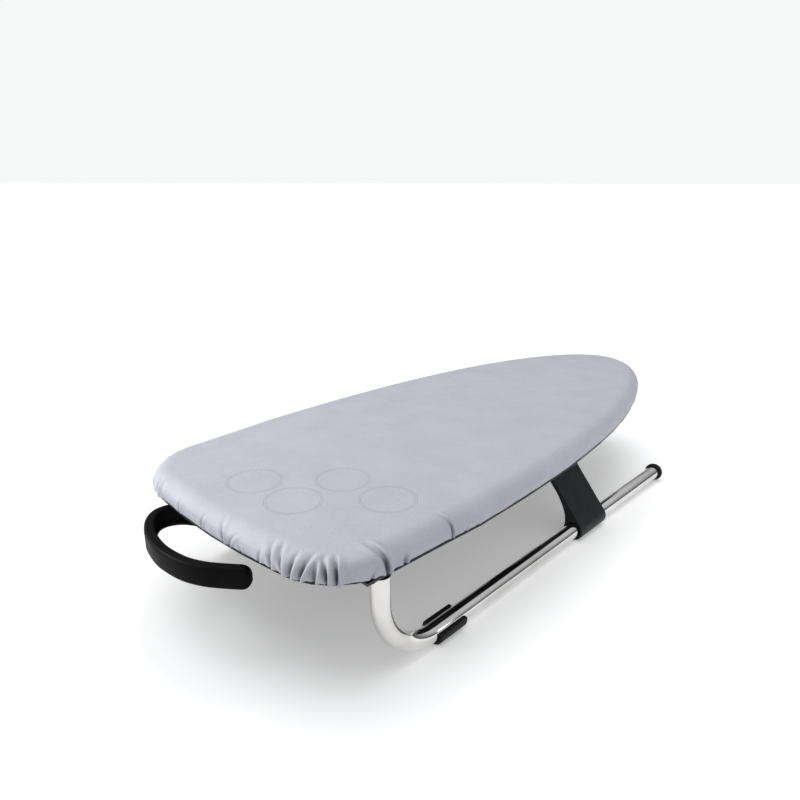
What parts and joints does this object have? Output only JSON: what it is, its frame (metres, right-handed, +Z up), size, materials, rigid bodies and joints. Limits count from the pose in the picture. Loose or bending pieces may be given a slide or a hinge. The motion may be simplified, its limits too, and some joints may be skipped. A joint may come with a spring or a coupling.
{
  "type": "tabletop ironing board",
  "caption": "Compact ironing board with a fitted padded cover, inward-folding bent tube legs with leaning braces, rubber feet and a curled hanging handle.",
  "frame": {"origin": "middle of the object's outline on the surface it stands on", "axes": "+X towards the nose of the board, +Y towards the board's left side, +Z up"},
  "size_m": [0.7948, 0.329, 0.1423],
  "materials": {
    "black_panel": "fine grained moulding",
    "felt": "needled felt",
    "cover_cloth": "silvered plain weave, slight sheen",
    "cord": "braided elastic",
    "black_handle": "satin",
    "zinc_steel": "black zinc plated",
    "chrome_tube": "polished",
    "foot_rubber": "matt",
    "slate_plastic": "satin"
  },
  "bodies": {
    "board": {"board_panel": "black_panel", "felt_pad": "felt", "cover": "cover_cloth", "hem_cord": "cord", "hanging_handle": "black_handle", "handle_screw_1": "zinc_steel", "handle_screw_2": "zinc_steel", "hinge_screw_right_1": "zinc_steel", "hinge_screw_right_2": "zinc_steel", "hinge_screw_left_1": "zinc_steel", "hinge_screw_left_2": "zinc_steel", "catch_screw_right_1": "zinc_steel", "catch_screw_right_2": "zinc_steel", "catch_screw_left_1": "zinc_steel", "catch_screw_left_2": "zinc_steel", "hinge_bracket_right": "zinc_steel", "hinge_bracket_left": "zinc_steel", "hinge_pin_right": "zinc_steel", "hinge_pin_left": "zinc_steel", "brace_catch_right": "black_panel", "brace_catch_left": "black_panel"},
    "leg_right": {"hinge_knuckle_right": "zinc_steel", "leg_tube_right": "chrome_tube", "foot_pad_right": "foot_rubber", "end_cap_right": "foot_rubber"},
    "leg_left": {"hinge_knuckle_left": "zinc_steel", "leg_tube_left": "chrome_tube", "foot_pad_left": "foot_rubber", "end_cap_left": "foot_rubber"},
    "brace_link_right": {"brace_right": "slate_plastic"},
    "brace_link_left": {"brace_left": "slate_plastic"}
  },
  "joints": [
    {"name": "leg_right_fold", "type": "hinge", "parent": "board", "child": "leg_right", "pos_m": [-0.2856, -0.142, 0.1075], "axis": [1, 0, 0], "range_deg": [0, 80]},
    {"name": "leg_left_fold", "type": "hinge", "parent": "board", "child": "leg_left", "pos_m": [-0.2856, 0.142, 0.1075], "axis": [-1, 0, 0], "range_deg": [0, 80]},
    {"name": "brace_right_swing", "type": "hinge", "parent": "leg_right", "child": "brace_link_right", "pos_m": [0.0784, -0.142, 0.0126], "axis": [-1, 0, 0], "range_deg": [0, 130]},
    {"name": "brace_left_swing", "type": "hinge", "parent": "leg_left", "child": "brace_link_left", "pos_m": [0.1584, 0.142, 0.0126], "axis": [1, 0, 0], "range_deg": [0, 130]}
  ],
  "couplings": [
    {"joint": "brace_right_swing", "follows": "leg_right_fold", "ratio": 1.625},
    {"joint": "brace_left_swing", "follows": "leg_left_fold", "ratio": 1.625}
  ]
}
